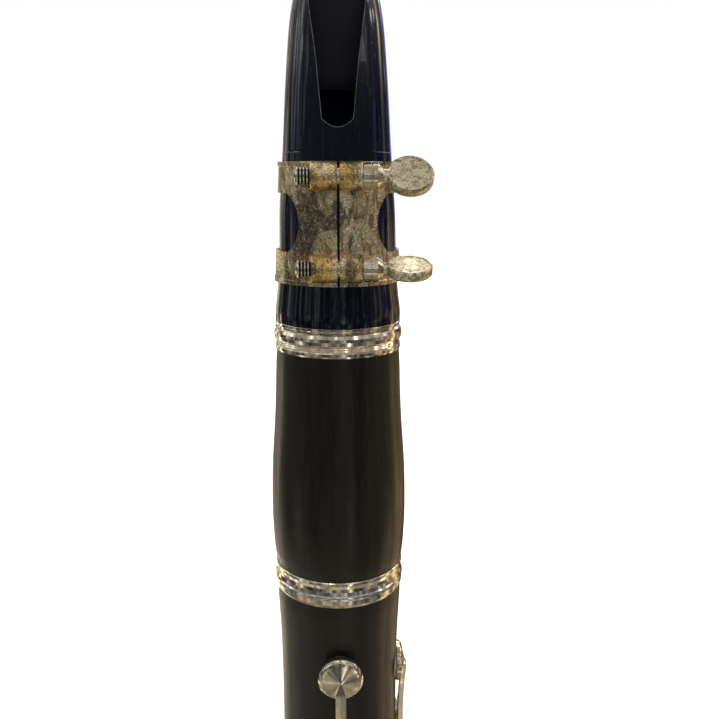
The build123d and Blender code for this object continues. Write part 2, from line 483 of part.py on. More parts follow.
keep("upper_steelwork", Compound(children=up_rods + [needle(PH_RING + 2.5, 16.2, 411.0, 436.0), needle(PH_RING + 2.5, 16.2, 341.4, 360.0),
                                         needle(PH_SL + 3, 16.2, 370.5, 378.5), needle(PH_TH - 3.5, 16.0, 437.5, 446.0)]))

# ================================================================ lower joint
RING_LO = [(299.0, 4.1, 5.5), (274.0, 3.9, 5.4), (248.0, 4.3, 5.6)]
HOLE_LO = [(204, 286.5, 2.4, 4.6), (82, 268.0, 3.6, 5.7), (46, 226.0, 4.2, 6.2), (170, 198.5, 5.2, 8.9), (16, 169.0, 5.0, 8.0), (172, 137.0, 5.8, 9.3)]
lo = lathe([(SOCK_C - 0.7, Z_BELL_TOP - TEN_C), (SOCK_C - 0.15, Z_BELL_TOP - TEN_C + 0.6), (SOCK_C - 0.15, Z_BELL_TOP - 17.5),
            (12.3, Z_BELL_TOP - 17.5), (12.3, Z_BELL_TOP - 2.2), (SOCK_C - 0.15, Z_BELL_TOP - 2.2), (SOCK_C - 0.15, Z_BELL_TOP), (17.4, Z_BELL_TOP), (17.5, Z_BELL_TOP + 0.6),
            (17.1, Z_BELL_TOP + 6.0), (16.2, Z_BELL_TOP + 14.0), (15.5, Z_BELL_TOP + 20.0), (15.2, Z_BELL_TOP + 24.5), (R_LO, 140.0), (R_LO, 302.0), (15.3, 306.0), (16.2, 311.5), (16.6, 315.5),
            (16.6, Z_MID - 5.5), (15.2, Z_MID - 5.5), (15.2, Z_MID), (SOCK_B, Z_MID), (SOCK_B, Z_MID - TEN_B - 0.3), (R_BORE + 0.05, Z_MID - TEN_B - 0.3),
            (R_BORE + 0.05, 235.0), (8.0, 180.0), (9.3, 130.0), (10.6, Z_BELL_TOP), (11.3, Z_BELL_TOP - TEN_C), ])
lo_ring_prof = [(15.2, Z_MID), (16.9, Z_MID), (17.2, Z_MID - 0.4), (17.2, Z_MID - 1.0), (16.95, Z_MID - 1.3), (17.25, Z_MID - 2.0), (17.3, Z_MID - 3.0),
                (17.1, Z_MID - 3.9), (16.9, Z_MID - 4.1), (17.05, Z_MID - 4.5), (17.0, Z_MID - 5.2), (16.8, Z_MID - 5.5), (15.2, Z_MID - 5.5)]
for z, rh, rch in RING_LO:
    lo += rad_cyl(180, z, 12, CH_TOP + 0.4, rch)
for ph, z, rh, rs in HOLE_LO:
    s_ = seat_of(R_LO, rs)
    lo -= rad_cyl(ph, z, s_, 24, rs + (1.0 if rs > 8.5 else 0.0))
    lo -= rad_cyl(ph, z, 5.5, 24, rh)
for z, rh, rch in RING_LO:
    lo -= rad_cyl(180, z, 5.5, 22, rh)
keep("lower_body", lo)
keep("lower_socket_ring", lathe(lo_ring_prof))
keep("lower_cork", lathe([(12.3, Z_BELL_TOP - 2.2), (SOCK_C - FIT, Z_BELL_TOP - 2.5), (SOCK_C - FIT, Z_BELL_TOP - 17.2), (12.3, Z_BELL_TOP - 17.5)]))

# ring key of the lower joint with the bridge lever
g = None
for z, rh, rch in RING_LO:
    a = ring_group(z, rch + 0.55, rch + 1.95, CH_TOP + 0.4)
    a += sector(16.9, 18.4, z - 1.4, z + 1.4, 203, PH_RING + 3, 0.35)
    g = a if g is None else g + a
g += cup(204, 286.5, seat_of(R_LO, 4.6), 4.1, 0.7, 2.4)
g += sector(16.5, 18.2, 285.2, 287.8, 204, PH_RING, 0.35)
g += tube(PH_RING, R_ROD, 241.0, 306.3)
g += sector(17.88, 18.8, 298.0, 329.5, PH_RING + 11.5, PH_RING + 18, 0.4)
g += sector(17.8, 19.1, 300.2, 305.6, PH_RING + 1, PH_RING + 14, 0.35)
g -= tube_bore(PH_RING, R_ROD, 241.0, 306.3)
for z, rh, rch in RING_LO:
    g -= rad_cyl(180, z, 12, 22, rch + 0.55)
metal["lower_ring_key"] = turn_long(g, PH_RING, R_ROD, OPEN1)
pads["lower_ring_pad"] = turn_long(pad(204, 286.5, seat_of(R_LO, 4.6), 4.1), PH_RING, R_ROD, OPEN1)

# sliver key on the right
PH_S2 = 112.0
s_ = seat_of(R_LO, 5.7)
g = cup(82, 268.0, s_, 5.3, 0.9, 2.6)
g += sector(16.6, 18.2, 266.6, 269.4, 82, PH_S2, 0.35)
g += tube(PH_S2, R_ROD, 255.9, 277.1)
g += sector(17.6, 19.0, 259.0, 263.0, PH_S2, 150, 0.5)
g -= tube_bore(PH_S2, R_ROD, 255.9, 277.1)
metal["sliver_lower_key"] = g
pads["sliver_lower_pad"] = pad(82, 268.0, s_, 5.3)

R1, R2, R3 = 104.0, 76.0, 50.0
OPEN_FC, OPEN_EB = 6.0, 6.0
# F / C key
s_ = seat_of(R_LO, 8.9)
g = cup(170, 198.5, s_, 8.4, 1.6, 2.9)
g += rad_cyl(170, 198.5, s_ + 3.5, 17.2, 1.6)
g = turn_long(g, R1, R_RODL, -OPEN_FC)
g += sector(17.9, 19.4, 196.8, 200.2, R1, 169, 0.4)
g += rad_cyl(169, 198.5, 16.6, 19.2, 1.6)
g += tube(R1, R_RODL, 194.1, 232.5)
g += sector(21.6, 23.1, 219.5, 231.0, R1 + 2, R1 + 30, 0.6)
g += sector(19.4, 22.3, 222.0, 228.5, R1, R1 + 10, 0.4)
g += sector(15.3, 16.55, 197.2, 200.2, 58, R1 - 6, 0.3)
g += sector(15.3, 19.0, 197.2, 200.2, R1 - 8, R1, 0.3)
g += sector(15.3, 18.8, 197.2, 200.2, 55, 60, 0.3)
g += sector(17.5, 18.9, 197.2, 200.2, -29.5, 57, 0.35)
g -= tube_bore(R1, R_RODL, 194.1, 232.5)
metal["f_c_key"] = g
pads["f_c_pad"] = turn_long(pad(170, 198.5, s_, 8.4), R1, R_RODL, -OPEN_FC)

# E / B key
s_ = seat_of(R_LO + 0.05, 9.3)
g = cup(172, 137.0, s_, 8.8, 1.6, 2.9)
g += rad_cyl(172, 137.0, s_ + 3.5, 17.0, 1.7)
g = turn_long(g, R2, R_RODL, -OPEN_EB)
g += sector(18.5, 20.0, 135.2, 138.8, R2, 171, 0.4)
g += rad_cyl(170, 137.0, 16.4, 19.8, 1.7)
g += tube(R2, R_RODL, 132.1, 213.5)
g += sector(21.2, 23.0, 202.6, 205.9, R2, R2 + 16, 0.4)
g += sector(21.4, 24.6, 202.5, 206.0, R2 + 13, R2 + 18, 0.4)
g += sector(23.2, 24.75, 202.35, 206.2, R2 + 14, R1 + 8, 0.4)
g += sector(23.1, 24.6, 203.0, 216.0, R1 + 3, R1 + 29, 0.6)
g += sector(17.3, 18.9, 207.4, 210.4, 25, R2, 0.35)
g += sector(17.3, 20.6, 207.4, 210.4, 20, 27, 0.35)
g += sector(19.2, 20.6, 207.4, 210.4, -69, 22, 0.35)
g -= tube_bore(R2, R_RODL, 132.1, 213.5)
metal["e_b_key"] = g
pads["e_b_pad"] = turn_long(pad(172, 137.0, s_, 8.8), R2, R_RODL, -OPEN_EB)

# G sharp / D sharp key
s_ = seat_of(R_LO, 6.2)
g = cup(46, 226.0, s_, 5.8, 1.0, 2.7)
g += rad_cyl(46, 226.0, s_ + 3.0, 18.6, 1.4)
g += sector(17.6, 19.2, 224.6, 227.4, 46, R2, 0.35)
g += tube(R2, R_RODL, 219.3, 232.5)
g += sector(20.9, 22.4, 220.0, 230.5, R2 + 1, R2 + 19, 0.6)
g -= tube_bore(R2, R_RODL, 219.3, 232.5)
metal["g_sharp_d_sharp_key"] = g
pads["g_sharp_d_sharp_pad"] = pad(46, 226.0, s_, 5.8)

# F sharp / C sharp key
s_ = seat_of(R_LO, 8.0)
g = cup(16, 169.0, s_, 7.5, 1.4, 2.8)
g += rad_cyl(16, 169.0, s_ + 3.5, 18.4, 1.6)
g += sector(17.4, 19.0, 167.4, 170.6, 16, R3, 0.35)
g += tube(R3, R_RODL, 162.1, 186.0)
g += sector(17.5, 18.9, 179.4, 182.4, -49, R3, 0.35)
g += sector(21.1, 24.5, 178.4, 185.3, R3, R3 + 9, 0.4)
g += sector(23.3, 24.7, 178.0, 212.0, R3 + 5, R3 + 12, 0.4)
g += sector(23.65, 24.85, 208.3, 213.2, R3 + 6, R2 + 12, 0.35)
g += sector(23.5, 25.0, 207.6, 218.0, R2 + 9.5, R2 + 21.5, 0.6)
g -= tube_bore(R3, R_RODL, 162.1, 186.0)
metal["f_sharp_key"] = g
pads["f_sharp_pad"] = pad(16, 169.0, s_, 7.5)

lo_posts, lo_rods = [], []
RPV_LO = 17.9
lo_outer = lathe([(0, Z_BELL_TOP), (17.5, Z_BELL_TOP + 0.6), (17.1, Z_BELL_TOP + 6.0), (16.2, Z_BELL_TOP + 14.0), (15.5, Z_BELL_TOP + 20.0), (15.2, Z_BELL_TOP + 24.5), (R_LO, 140.0),
                  (R_LO, 302.0), (15.3, 306.0), (16.2, 311.5), (16.6, 315.5), (16.6, 330), (0, 330)])


def lever(name, phi, zt, zp, z_touch, off_touch=0.0, rt=16.3):
    """left-hand lever: long rocker, tail under the right-hand key's arm"""
    r_tail = rt
    ln = [(zt, r_tail), (zt + 8, r_tail), (zt + 14, 16.4), (zp - 12, 16.4), (zp - 4, 17.9), (zp, 18.3), (zp + 4, 18.1), (z_touch - 4, 17.9), (z_touch + 10, 18.3)]
    k = bar(phi, ln, 2.6, 1.5)
    k += tang_cyl(phi, zp, RPV_LO, 1.9, 4.6)
    k += local(phi + off_touch) * (Pos(z_touch + 6, 0, 18.0) * soft(extrude(RectangleRounded(14.0, 5.2, 2.5), amount=1.3), 0.42))
    k -= tang_cyl(phi, zp, RPV_LO, PIN_R + FIT, 8)
    metal[name] = k
    lo_posts.append(saddle(phi, zp, RPV_LO, lo_outer, R_LO))
    lo_rods.append(pin(phi, zp, RPV_LO))


lever("lever_e_b", 296.0, 206.0, 262.0, 292.0, rt=18.1)
lever("lever_f_sharp", 315.5, 178.2, 270.0, 292.0, rt=16.5)
lever("lever_f_c", 335.0, 195.4, 254.0, 292.0, rt=16.5)

for ph, r, z in ((PH_RING, R_ROD, 309.1), (PH_RING, R_ROD, 238.2), (PH_S2, R_ROD, 279.9), (PH_S2, R_ROD, 253.1),
                 (R1, R_RODL, 191.3), (R1, R_RODL, 235.3), (R2, R_RODL, 129.3), (R2, R_RODL, 216.4), (R2, R_RODL, 235.3),
                 (R3, R_RODL, 159.3), (R3, R_RODL, 188.8)):
    lo_posts.append(post(ph, r, z, R_LO))
keep("lower_posts", Compound(children=[p - lo_outer for p in lo_posts]))
lo_rods += [rod(PH_RING, R_ROD, 236.0, 311.2), rod(PH_S2, R_ROD, 250.9, 282.1), rod(R1, R_RODL, 189.1, 237.5),
            rod(R2, R_RODL, 127.1, 237.5), rod(R3, R_RODL, 157.1, 191.0)]
keep("lower_steelwork", Compound(children=lo_rods + [needle(PH_RING + 2.5, 16.1, 289.0, 306.3), needle(PH_S2 - 2.5, 16.1, 270.5, 277.2),
                                         needle(R2, 17.2, 141.0, 160.0)]))

# thumb rest: plate, shelf and hook
tr = sector(R_LO + 0.02, R_LO + 1.6, 259.0, 283.0, -13, 13, 0.4)
tr += local(0) * (Pos(268.0, 0, 20.95) * soft(Box(2.6, 9.6, 11.2), 1.0))
tr += local(0) * (Pos(270.6, 0, 25.5) * soft(Box(7.2, 9.6, 2.2), 0.9))
for zz in (263.0, 278.5):
    tr -= rad_cyl(0, zz, 12, 20, 1.5)
keep("thumb_rest", tr)
sc = []
for zz in (263.0, 278.5):
    q = rad_cyl(0, zz, R_LO + 1.55, R_LO + 2.3, 2.3) + rad_cyl(0, zz, R_LO + 0.1, R_LO + 1.7, 1.45)
    q = q - (radial(0, R_LO + 2.3, zz) * Box(5, 0.5, 0.7))
    q = q - tr
    sc.append(q)
keep("thumb_rest_screws", Compound(children=sc))

# ================================================================ bell
b_out = [(39.2, 4.4), (37.2, 8.5), (34.0, 15.5), (30.2, 25.0), (26.8, 36.0), (23.9, 48.0), (21.6, 60.0), (20.0, 72.0), (19.0, 83.0), (18.5, 92.0), (18.3, Z_BELL_TOP - 7.5)]
e = [Spline(*[(r, 0, z) for r, z in b_out])]
b_in = [(13.0, 79.0), (14.2, 68.0), (16.0, 56.0), (18.6, 44.0), (21.6, 33.0), (25.0, 22.0), (28.6, 12.0), (31.5, 4.4)]
sp_in = Spline(*[(r, 0, z) for r, z in b_in])
pth = [b_out[-1], (16.6, Z_BELL_TOP - 7.5), (16.6, Z_BELL_TOP), (SOCK_C, Z_BELL_TOP), (SOCK_C, Z_BELL_TOP - TEN_C - 0.3), (12.4, Z_BELL_TOP - TEN_C - 0.3), b_in[0]]
for a, b in zip(pth[:-1], pth[1:]):
    e.append(Line((a[0], 0, a[1]), (b[0], 0, b[1])))
e.append(sp_in)
e.append(Line((31.5, 0, 4.4), (39.2, 0, 4.4)))
keep("bell_body", revolve(make_face(e), Axis.Z))
blt = lathe([(16.6, Z_BELL_TOP), (18.4, Z_BELL_TOP), (18.8, Z_BELL_TOP - 0.4), (18.8, Z_BELL_TOP - 1.1), (18.45, Z_BELL_TOP - 1.4), (18.85, Z_BELL_TOP - 2.3),
                             (18.95, Z_BELL_TOP - 3.6), (18.8, Z_BELL_TOP - 4.8), (18.5, Z_BELL_TOP - 5.3), (18.65, Z_BELL_TOP - 5.7), (18.5, Z_BELL_TOP - 6.1),
                             (18.65, Z_BELL_TOP - 6.8), (18.5, Z_BELL_TOP - 7.5), (16.6, Z_BELL_TOP - 7.5)])
blr = lathe([(32.2, 0), (38.6, 0), (39.4, 0.6), (39.7, 1.6), (39.6, 3.4), (39.3, 4.4), (31.5, 4.4), (31.3, 3.6), (31.4, 1.0)])
keep("bell_rings", Compound(children=[blt, blr]))

for n, s in list(metal.items()) + list(pads.items()):
    keep(n, s)

for n, s in parts.items():
    export_step(s, "parts/%s.step" % n)
print(len(parts), "nodes")
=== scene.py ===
import math
import random

import bmesh
import bpy
from mathutils import Matrix, Vector

import json


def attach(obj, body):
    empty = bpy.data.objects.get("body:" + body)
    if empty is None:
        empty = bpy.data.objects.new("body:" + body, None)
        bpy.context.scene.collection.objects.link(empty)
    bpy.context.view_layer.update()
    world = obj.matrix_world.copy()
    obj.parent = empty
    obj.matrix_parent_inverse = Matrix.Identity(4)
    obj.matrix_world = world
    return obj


random.seed(7)
NOBEVEL = False
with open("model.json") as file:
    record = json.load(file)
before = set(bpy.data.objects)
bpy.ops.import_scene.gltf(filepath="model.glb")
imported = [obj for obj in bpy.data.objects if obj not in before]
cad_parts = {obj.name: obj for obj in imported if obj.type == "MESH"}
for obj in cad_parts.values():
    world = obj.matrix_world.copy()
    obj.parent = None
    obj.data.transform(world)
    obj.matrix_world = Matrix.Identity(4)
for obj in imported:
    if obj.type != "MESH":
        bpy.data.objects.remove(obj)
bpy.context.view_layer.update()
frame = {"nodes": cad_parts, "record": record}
NODES = frame["nodes"]
scene = bpy.context.scene


# ------------------------------------------------------------ node helpers
class G:
    """small wrapper to write a material's node graph in few lines"""

    def __init__(self, mat):
        self.t = mat.node_tree
        self.bsdf = next(n for n in self.t.nodes if n.type == "BSDF_PRINCIPLED")

    def n(self, kind, **kw):
        x = self.t.nodes.new(kind)
        for k, v in kw.items():
            if k.startswith("i_"):
                key = k[2:].replace("_", " ")
                x.inputs[key if key in x.inputs else key.title()].default_value = v
            else:
                setattr(x, k, v)
        return x

    def l(self, a, b):
        self.t.links.new(a, b)

    def coords(self, scale=(1, 1, 1), rot=(0, 0, 0)):
        c = self.n("ShaderNodeTexCoord")
        m = self.n("ShaderNodeMapping")
        m.inputs["Scale"].default_value = scale
        m.inputs["Rotation"].default_value = rot
        self.l(c.outputs["Object"], m.inputs["Vector"])
        return m.outputs["Vector"]

    def noise(self, vec, scale, detail=4.0, rough=0.55, dist=0.0):
        x = self.n("ShaderNodeTexNoise")
        x.inputs["Scale"].default_value = scale
        x.inputs["Detail"].default_value = detail
        x.inputs["Roughness"].default_value = rough
        x.inputs["Distortion"].default_value = dist
        self.l(vec, x.inputs["Vector"])
        return x.outputs["Fac"]

    def voro(self, vec, scale, feature="F1", rnd=1.0):
        x = self.n("ShaderNodeTexVoronoi", feature=feature)
        x.inputs["Scale"].default_value = scale
        x.inputs["Randomness"].default_value = rnd
        self.l(vec, x.inputs["Vector"])
        return x.outputs["Distance"]

    def ramp(self, fac, stops, interp="LINEAR"):
        x = self.n("ShaderNodeValToRGB")
        x.color_ramp.interpolation = interp
        e = x.color_ramp.elements
        while len(e) < len(stops):
            e.new(0.5)
        for i, (p, c) in enumerate(stops):
            e[i].position = p
            e[i].color = (c, c, c, 1) if not hasattr(c, "__len__") else (*c, 1)
        self.l(fac, x.inputs["Fac"])
        return x.outputs["Color"]

    def mix(self, fac, a, b, mode="MIX"):
        x = self.n("ShaderNodeMix", data_type="RGBA", blend_type=mode)
        for sock, v in ((x.inputs[0], fac), (x.inputs[6], a), (x.inputs[7], b)):
            if hasattr(v, "links") or hasattr(v, "is_linked"):
                self.l(v, sock)
            elif hasattr(v, "__len__"):
                sock.default_value = (*v, 1)
            else:
                sock.default_value = v
        return x.outputs[2]

    def math(self, op, a, b=None):
        x = self.n("ShaderNodeMath", operation=op)
        for sock, v in ((x.inputs[0], a), (x.inputs[1], b)):
            if v is None:
                continue
            if hasattr(v, "is_linked"):
                self.l(v, sock)
            else:
                sock.default_value = v
        return x.outputs[0]

    def rng(self, v, a, b, c, d):
        x = self.n("ShaderNodeMapRange")
        self.l(v, x.inputs[0])
        for i, q in enumerate((a, b, c, d)):
            x.inputs[i + 1].default_value = q
        return x.outputs[0]

    def bump(self, height, strength, dist, prev=None):
        x = self.n("ShaderNodeBump")
        x.inputs["Strength"].default_value = strength
        x.inputs["Distance"].default_value = dist
        self.l(height, x.inputs["Height"])
        if prev is not None:
            self.l(prev, x.inputs["Normal"])
        return x.outputs["Normal"]

    def set(self, **kw):
        for k, v in kw.items():
            s = self.bsdf.inputs[k.replace("_", " ")]
            if hasattr(v, "is_linked"):
                self.l(v, s)
            elif hasattr(v, "__len__") and len(v) == 3:
                s.default_value = (*v, 1)
            else:
                s.default_value = v


def new_mat(name):
    m = bpy.data.materials.new(name)
    m.use_nodes = True
    return m, G(m)


# ------------------------------------------------------------ materials
def mat_ebonite():
    m, g = new_mat("ebonite_polished")
    v = g.coords()
    smudge = g.noise(v, 90, 3, 0.5)
    fine = g.noise(v, 1400, 2, 0.5)
    base = g.mix(smudge, (0.0034, 0.0052, 0.0125), (0.0048, 0.0066, 0.0160))
    # hairline scratches in two directions, kept to worn patches
    scr = None
    for rot, sc, off in (((0.35, 0.55, 0.2), (2300, 2300, 50), 0.0), ((0.9, -0.7, 0.5), (1900, 1900, 42), 0.3), ((-0.5, 1.1, -0.3), (2700, 2700, 70), 0.6)):
        sa = g.noise(g.coords(sc, rot), 1.0, 1, 0.5)
        line = g.ramp(sa, [(0.0, 0.0), (0.652, 0.0), (0.664, 1.0), (0.676, 0.0), (1.0, 0.0)])
        patch = g.ramp(g.noise(g.coords((1, 1, 1), rot), 60, 1, 0.5), [(0.0, 0.0), (0.52, 0.0), (0.62, 1.0), (1.0, 1.0)])
        one = g.math("MULTIPLY", line, patch)
        scr = one if scr is None else g.math("MAXIMUM", scr, one)
    # specks of dust
    dust = g.ramp(g.voro(v, 420), [(0.0, 1.0), (0.035, 1.0), (0.06, 0.0), (1.0, 0.0)])
    dust = g.math("MULTIPLY", dust, g.ramp(g.noise(v, 150, 2, 0.5), [(0.0, 0.0), (0.5, 0.0), (0.56, 1.0), (1.0, 1.0)]))
    rough = g.math("ADD", g.rng(smudge, 0.3, 0.75, 0.045, 0.13), g.math("MULTIPLY", scr, 0.35))
    col = g.mix(g.math("MULTIPLY", scr, 0.6), base, (0.07, 0.08, 0.10))
    col = g.mix(g.math("MULTIPLY", dust, 0.8), col, (0.28, 0.29, 0.31))
    # inside of the window, throat and bore: dull, not polished, and lighter grey-blue; the lower window and the bore
    # below it carry a painted shade
    tc_ = g.n("ShaderNodeTexCoord")
    so, sn = g.n("ShaderNodeSeparateXYZ"), g.n("ShaderNodeSeparateXYZ")
    g.l(tc_.outputs["Object"], so.inputs[0])
    g.l(tc_.outputs["Normal"], sn.inputs[0])
    px, py, pz, ny = so.outputs["X"], so.outputs["Y"], so.outputs["Z"], sn.outputs["Y"]
    half = g.rng(pz, 0.6416, 0.6648, 0.00336, 0.00592)
    inside = g.math("MULTIPLY", g.math("LESS_THAN", g.math("ABSOLUTE", px), half), g.math("GREATER_THAN", py, -0.0085))
    r2 = g.math("ADD", g.math("MULTIPLY", px, px), g.math("MULTIPLY", py, py))
    inside = g.math("MAXIMUM", inside, g.math("LESS_THAN", r2, 0.0077 ** 2))
    inside = g.math("MULTIPLY", inside, g.math("LESS_THAN", ny, 0.3))
    inside = g.math("MULTIPLY", inside, g.math("LESS_THAN", pz, 0.676))
    # painted shade: the lower part of the window and the bore below are painted dark blue-black, with lower specular
    lower_bore_painted_shade = g.math("MULTIPLY", inside, g.math("LESS_THAN", pz, 0.6486))
    col = g.mix(inside, col, g.mix(smudge, (0.0185, 0.0180, 0.0330), (0.0215, 0.0208, 0.0370)))
    col = g.mix(lower_bore_painted_shade, col, (0.0015, 0.0060, 0.0190))
    rough = g.math("ADD", rough, g.math("MULTIPLY", inside, 0.28))
    spec = g.math("SUBTRACT", 0.5, g.math("MULTIPLY", inside, 0.30))
    spec = g.math("SUBTRACT", spec, g.math("MULTIPLY", lower_bore_painted_shade, 0.19))
    coat = g.math("MULTIPLY", g.math("SUBTRACT", 1.0, inside), 0.10)
    nrm = g.bump(scr, 0.35, 0.00002, g.bump(fine, 0.06, 0.00001))
    g.set(Base_Color=col, Roughness=rough, Normal=nrm, IOR=1.55, Specular_IOR_Level=spec, Coat_Weight=coat)
    g.bsdf.inputs["Specular Tint"].default_value = (0.72, 0.83, 1.0, 1.0)
    g.bsdf.inputs["Coat Roughness"].default_value = 0.03
    return m


def mat_wood(name="grenadilla", lift=0.0, r0=0.27, r1=0.42, brown=1.0):
    m, g = new_mat(name)
    v = g.coords((1, 1, 0.045))
    grain = g.noise(v, 900, 6, 0.62, 0.15)
    streak = g.noise(g.coords((1, 1, 0.02)), 320, 3, 0.5, 0.3)
    line = g.noise(g.coords((1, 1, 0.022)), 2300, 3, 0.6, 0.1)
    broad = g.noise(g.coords((1, 1, 0.12)), 60, 2, 0.5)

    def c3(r, gg, b):
        k = r - (r - b) * (1.0 - brown)
        return (k + lift, gg + lift, b + lift)

    col = g.ramp(grain, [(0.25, c3(0.0022, 0.0023, 0.0026)), (0.5, c3(0.0052, 0.0049, 0.0048)), (0.66, c3(0.0125, 0.0092, 0.0068)), (0.8, c3(0.026, 0.0165, 0.0100))])
    col2 = g.ramp(streak, [(0.3, c3(0.0022, 0.0023, 0.0026)), (0.6, c3(0.0075, 0.0062, 0.0053)), (0.75, c3(0.021, 0.0130, 0.008))])
    c = g.mix(0.45, col, col2)
    c = g.mix(g.rng(broad, 0.35, 0.75, 0.0, 0.45), c, c3(0.0085, 0.0066, 0.0052))
    c = g.mix(g.rng(line, 0.56, 0.72, 0.0, 0.5), c, c3(0.026, 0.0175, 0.0108))
    pore_v = g.coords((1, 1, 0.05))
    pore = g.voro(pore_v, 1500)
    pores = g.ramp(pore, [(0.0, 0.0), (0.16, 1.0), (1.0, 1.0)])
    c = g.mix(g.rng(pores, 0, 1, 0.55, 0.0), c, (0.0012, 0.0011, 0.0011))
    rough = g.rng(grain, 0.3, 0.8, r0, r1)
    rough = g.math("ADD", rough, g.rng(broad, 0.3, 0.8, -0.04, 0.07))
    rough = g.math("ADD", rough, g.rng(line, 0.5, 0.75, 0.0, 0.12))
    nrm = g.bump(grain, 0.34, 0.00004)
    nrm = g.bump(line, 0.40, 0.00002, nrm)
    nrm = g.bump(pores, 0.40, 0.00003, nrm)
    g.set(Base_Color=c, Roughness=rough, Normal=nrm, IOR=1.5)
    g.bsdf.inputs["Specular IOR Level"].default_value = 0.42
    g.bsdf.inputs["Coat Weight"].default_value = 0.08
    g.bsdf.inputs["Coat Roughness"].default_value = 0.20
    return m


def mat_silver(name="silver_plate", rough0=0.07, rough1=0.20, tarn=0.42):
    m, g = new_mat(name)
    v = g.coords()
    big = g.noise(v, 130, 4, 0.6, 0.4)
    med = g.noise(v, 520, 4, 0.6)
    fine = g.noise(v, 3500, 2, 0.5)
    bright = (0.84, 0.80, 0.70)
    dull = (0.62, 0.55, 0.42)
    dark = (0.24, 0.20, 0.13)
    c = g.mix(g.rng(big, 0.38, 0.72, 0.0, 0.75), bright, dull)
    c = g.mix(g.math("MULTIPLY", g.rng(med, 0.55, 0.8, 0.0, 1.0), tarn), c, dark)
    spots = g.ramp(g.voro(v, 620), [(0.0, 1.0), (0.07, 1.0), (0.13, 0.0), (1.0, 0.0)])
    c = g.mix(g.math("MULTIPLY", spots, 0.35), c, (0.12, 0.09, 0.06))
    scr_v = g.coords((300, 3000, 3000), (0.2, 0.1, 0.6))
    scr = g.noise(scr_v, 1.0, 1, 0.5)
    line = g.ramp(scr, [(0.0, 0.0), (0.64, 0.0), (0.655, 1.0), (0.67, 0.0), (1.0, 0.0)])
    rough = g.math("ADD", g.rng(big, 0.3, 0.75, rough0, rough1), g.math("MULTIPLY", line, 0.12))
    rough = g.math("ADD", rough, g.math("MULTIPLY", spots, 0.15))
    nrm = g.bump(med, 0.14, 0.00004)
    nrm = g.bump(line, 0.14, 0.00001, nrm)
    nrm = g.bump(fine, 0.06, 0.00001, nrm)
    g.set(Base_Color=c, Roughness=rough, Normal=nrm, Metallic=1.0)
    return m


def mat_tarnished(name="ligature_worn_plate", pits=0.6, gold_amt=1.0, light=0.0):
    """nickel plate worn through to brass, with brown and blue-black tarnish and pitting"""
    m, g = new_mat(name)
    v = g.coords()
    vs = g.coords((1, 1, 0.38))
    big = g.noise(v, 120, 4, 0.6, 0.8)
    big2 = g.noise(g.coords((1, 1, 0.6), (0.4, 0.2, 0.9)), 170, 4, 0.6, 0.6)
    mid = g.noise(vs, 520, 5, 0.68, 0.7)
    small = g.noise(v, 2300, 4, 0.7, 0.3)
    worm = g.noise(g.coords((1, 1, 0.7)), 1150, 3, 0.6, 2.2)
    plate = (0.92 + light, 0.82 + light, 0.58 + light)
    gold = (0.80, 0.57, 0.20)
    brown = (0.30, 0.21, 0.10)
    slate = (0.075, 0.08, 0.09)
    black = (0.018, 0.017, 0.016)
    sp = g.n("ShaderNodeSeparateXYZ")
    g.l(g.n("ShaderNodeTexCoord").outputs["Object"], sp.inputs[0])
    on_lug = g.rng(sp.outputs["Y"], -0.0142, -0.0150, 0.30, 1.0)
    c = g.mix(g.math("MULTIPLY", g.rng(big, 0.44, 0.54, 0.0, gold_amt), on_lug), plate, gold)
    c = g.mix(g.rng(big2, 0.51, 0.60, 0.0, 0.92), c, slate)
    c = g.mix(g.rng(mid, 0.49, 0.59, 0.0, 0.88), c, brown)
    c = g.mix(g.rng(worm, 0.55, 0.63, 0.0, 0.75), c, (0.78, 0.60, 0.32))
    c = g.mix(g.rng(small, 0.54, 0.68, 0.0, 0.9), c, black)
    pv = g.voro(v, 1500)
    pit = g.ramp(pv, [(0.0, 1.0), (0.14, 1.0), (0.30, 0.0), (1.0, 0.0)])
    pitm = g.math("MULTIPLY", pit, g.rng(mid, 0.42, 0.56, 0.15, pits))
    c = g.mix(pitm, c, black)
    rough = g.rng(mid, 0.34, 0.66, 0.10, 0.34)
    rough = g.math("ADD", rough, g.math("MULTIPLY", pitm, 0.3))
    nrm = g.bump(worm, 0.85, 0.00014)
    nrm = g.bump(small, 0.80, 0.00006, nrm)
    inv = g.math("SUBTRACT", 1.0, pitm)
    nrm = g.bump(inv, 0.7, 0.00008, nrm)
    g.set(Base_Color=c, Roughness=rough, Normal=nrm, Metallic=0.90)
    return m


